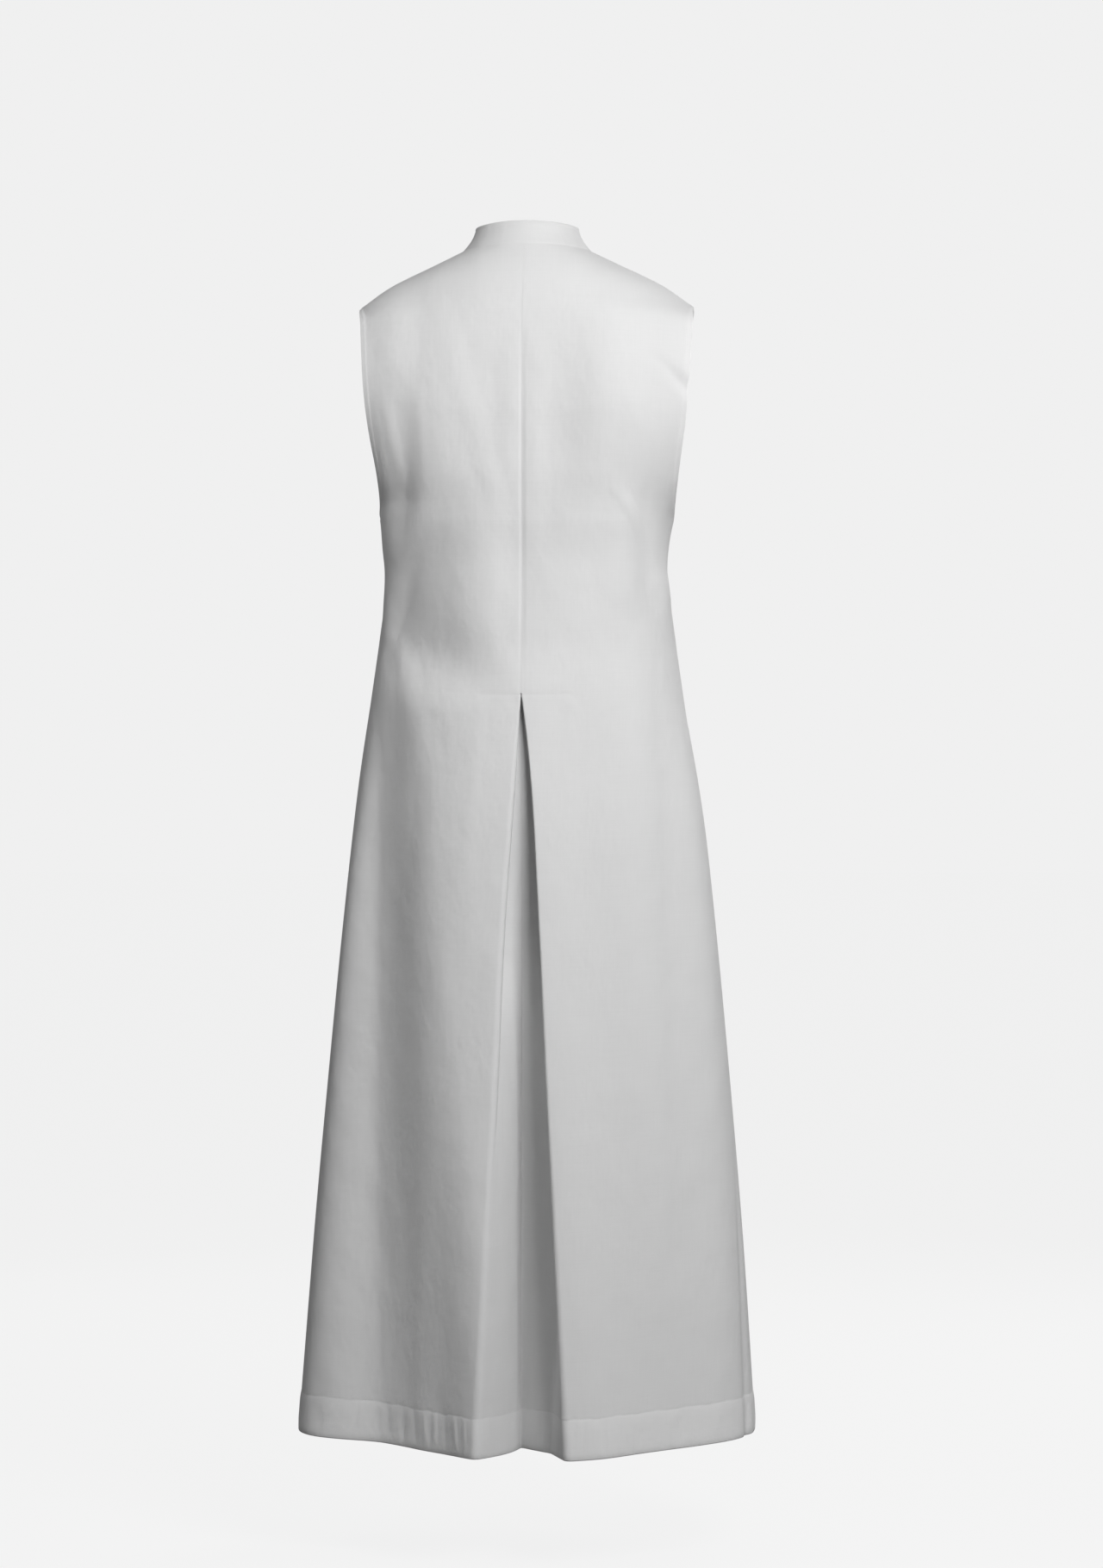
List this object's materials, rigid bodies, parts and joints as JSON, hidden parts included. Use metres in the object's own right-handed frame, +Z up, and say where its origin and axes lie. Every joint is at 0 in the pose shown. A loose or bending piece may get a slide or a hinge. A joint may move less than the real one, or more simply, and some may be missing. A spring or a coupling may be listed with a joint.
{
  "type": "sleeveless altar server cassock",
  "caption": "Floor-length sleeveless white cassock in its hollow worn form, with stand collar, open armholes, flared skirt and inverted back pleat, buttoned in front.",
  "frame": {"origin": "centre of the neck seam, level with its centre back, where the shoulders hold the garment", "axes": "+Z up the garment to the collar, +Y to the garment's back, -Y to its buttoned front, +X to the wearer's left"},
  "size_m": [0.5284, 0.4458, 1.4008],
  "materials": {
    "cloth": "matte plain-woven white cloth",
    "button": "satin white"
  },
  "bodies": {
    "root": {"back_left": "cloth", "back_right": "cloth", "front_left": "cloth", "front_right": "cloth", "collar": "cloth", "button_collar": "button", "button_01": "button", "button_02": "button", "button_03": "button", "button_04": "button", "button_05": "button", "button_06": "button", "button_07": "button", "button_08": "button", "button_09": "button", "button_10": "button", "button_11": "button", "button_12": "button", "button_13": "button"}
  },
  "joints": []
}
